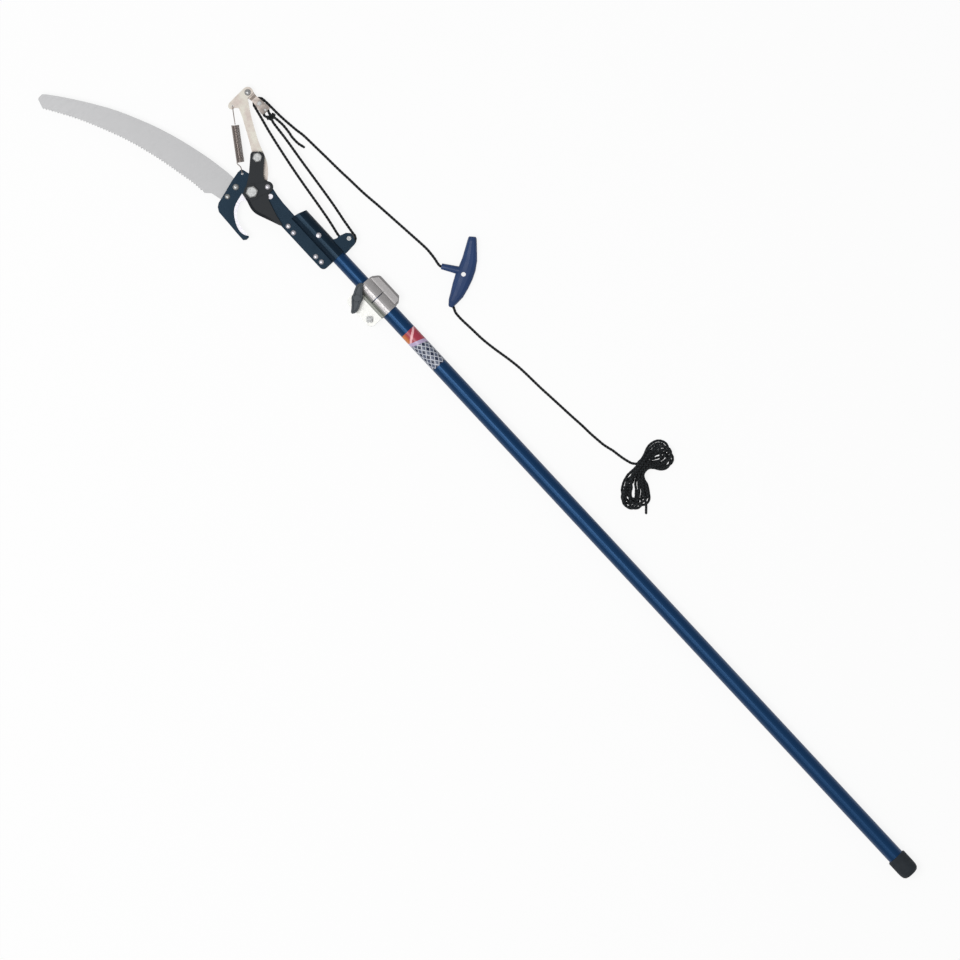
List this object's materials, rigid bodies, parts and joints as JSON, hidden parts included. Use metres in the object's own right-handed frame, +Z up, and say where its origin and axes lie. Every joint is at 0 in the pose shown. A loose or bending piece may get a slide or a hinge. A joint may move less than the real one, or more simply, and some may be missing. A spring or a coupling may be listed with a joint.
{
  "type": "telescopic tree lopper",
  "caption": "Telescopic pole with a curved pruning saw, a hook with a rope-driven cutting blade, a pulley tackle and a pull rope with a T-handle.",
  "frame": {"origin": "bottom centre of the box of the rigid pieces as the tool lies on the floor, its free ropes left out", "axes": "+Y along the pole towards the head, +Z up, away from the floor, +X towards the pulleys"},
  "size_m": [0.3456, 1.7456, 0.0398],
  "materials": {
    "black_braided_rope": "braided polyester",
    "black_nylon": "matt",
    "blue_handle_plastic": "satin",
    "bright_steel": "ground",
    "cap_rubber": "matt",
    "cast_aluminium": "satin, as cast",
    "coated_blade_steel": "low-friction coating",
    "natural_nylon": "satin",
    "plate_enamel": "satin enamel",
    "saw_steel": "ground",
    "spring_steel": "oiled",
    "tube_enamel": "gloss enamel",
    "zinc_plated_steel": "zinc plated"
  },
  "bodies": {
    "pole": {"outer_tube": "tube_enamel", "end_cap": "cap_rubber", "clamp_collar": "cast_aluminium", "clamp_bolt": "zinc_plated_steel", "base_bolt": "zinc_plated_steel", "base_nut": "zinc_plated_steel"},
    "knob": {"wing_knob": "black_nylon"},
    "head": {"inner_tube": "tube_enamel", "guide_bush": "natural_nylon", "hook_plate": "plate_enamel", "counter_blade": "bright_steel", "socket_front": "plate_enamel", "socket_rear": "plate_enamel", "flange_rivet_1": "bright_steel", "flange_rivet_2": "bright_steel", "flange_rivet_3": "bright_steel", "flange_rivet_4": "bright_steel", "tube_rivet": "bright_steel", "neck_rivet": "bright_steel", "lower_axle": "zinc_plated_steel", "saw_blade": "saw_steel", "saw_bolt_1": "zinc_plated_steel", "saw_bolt_2": "zinc_plated_steel", "saw_nut_1": "zinc_plated_steel", "saw_nut_2": "zinc_plated_steel"},
    "lever": {"cutting_blade": "coated_blade_steel", "lock_plate": "coated_blade_steel", "lock_screw": "bright_steel", "lever_arm": "zinc_plated_steel", "arm_bolt": "zinc_plated_steel", "arm_sleeve": "zinc_plated_steel", "arm_nut": "zinc_plated_steel", "pivot_bolt": "zinc_plated_steel", "pivot_nut": "zinc_plated_steel", "hanger_bolt": "zinc_plated_steel", "hanger_nut": "zinc_plated_steel", "hook_end": "spring_steel"},
    "block": {"cheek_front": "zinc_plated_steel", "cheek_rear": "zinc_plated_steel", "upper_axle": "zinc_plated_steel", "becket_pin": "zinc_plated_steel", "becket_loop": "black_braided_rope", "becket_knot": "black_braided_rope", "knot_tail": "black_braided_rope"},
    "upper_wheel": {"upper_sheave": "black_nylon"},
    "lower_wheel": {"lower_sheave": "black_nylon"},
    "tackle": {"tackle_rope": "black_braided_rope"},
    "spring_lower": {"return_spring": "spring_steel"},
    "spring_upper": {"spring_hook": "spring_steel"},
    "rope_top": {"pull_rope": "black_braided_rope"},
    "handle": {"t_handle": "blue_handle_plastic", "pull_rope_tail": "black_braided_rope", "rope_hank": "black_braided_rope"}
  },
  "joints": [
    {"name": "pole_extend", "type": "slide", "parent": "pole", "child": "head", "axis": [0, 1, 0], "range_m": [-0.043, 0.95]},
    {"name": "knob_turn", "type": "hinge", "parent": "pole", "child": "knob", "pos_m": [-0.02109, 0.32603, 0.015], "axis": [0, 0, 1], "continuous": true},
    {"name": "blade_pivot", "type": "hinge", "parent": "head", "child": "lever", "pos_m": [-0.02789, 0.55043, 0.015], "axis": [0, 0, -1], "range_deg": [0, 66], "stiffness_Nm_per_rad": 0.6, "springref_deg": -11.46},
    {"name": "block_swivel", "type": "hinge", "parent": "lever", "child": "block", "pos_m": [0.06931, 0.66473, 0.0112], "axis": [0, 0, -1], "range_deg": [-36.5, 0.5]},
    {"name": "upper_sheave_spin", "type": "hinge", "parent": "block", "child": "upper_wheel", "pos_m": [0.07061, 0.64043, 0.0112], "axis": [0, 0, 1], "continuous": true},
    {"name": "lower_sheave_spin", "type": "hinge", "parent": "head", "child": "lower_wheel", "pos_m": [0.03131, 0.40043, 0.015], "axis": [0, 0, 1], "continuous": true},
    {"name": "tackle_swing", "type": "hinge", "parent": "head", "child": "tackle", "pos_m": [0.03131, 0.40043, 0.015], "axis": [0, 0, -1], "range_deg": [-0.5, 30.5], "deforming": ["tackle_rope"]},
    {"name": "spring_swing", "type": "hinge", "parent": "head", "child": "spring_lower", "pos_m": [-0.01989, 0.58073, 0.015], "axis": [0, 0, -1], "range_deg": [-0.5, 75.5], "deforming": ["return_spring"]},
    {"name": "spring_stretch", "type": "slide", "parent": "spring_lower", "child": "spring_upper", "axis": [0.5683, 0.8228, 0], "range_m": [-0.0005, 0.0295]},
    {"name": "rope_feed", "type": "slide", "parent": "head", "child": "rope_top", "axis": [0.218, -0.9759, 0], "range_m": [-0.001, 0.159], "deforming": ["pull_rope"]},
    {"name": "rope_pull", "type": "slide", "parent": "rope_top", "child": "handle", "axis": [-0.1307, -0.9914, 0], "range_m": [-0.001, 0.265]}
  ],
  "couplings": [
    {"joint": "block_swivel", "follows": "blade_pivot", "ratio": -0.54515},
    {"joint": "tackle_swing", "follows": "blade_pivot", "ratio": 0.45485},
    {"joint": "spring_swing", "follows": "blade_pivot", "ratio": 1.1364},
    {"joint": "spring_stretch", "follows": "blade_pivot", "m_per_rad": 0.02509},
    {"joint": "rope_feed", "follows": "blade_pivot", "m_per_rad": 0.13698},
    {"joint": "rope_pull", "follows": "blade_pivot", "m_per_rad": 0.22854}
  ]
}
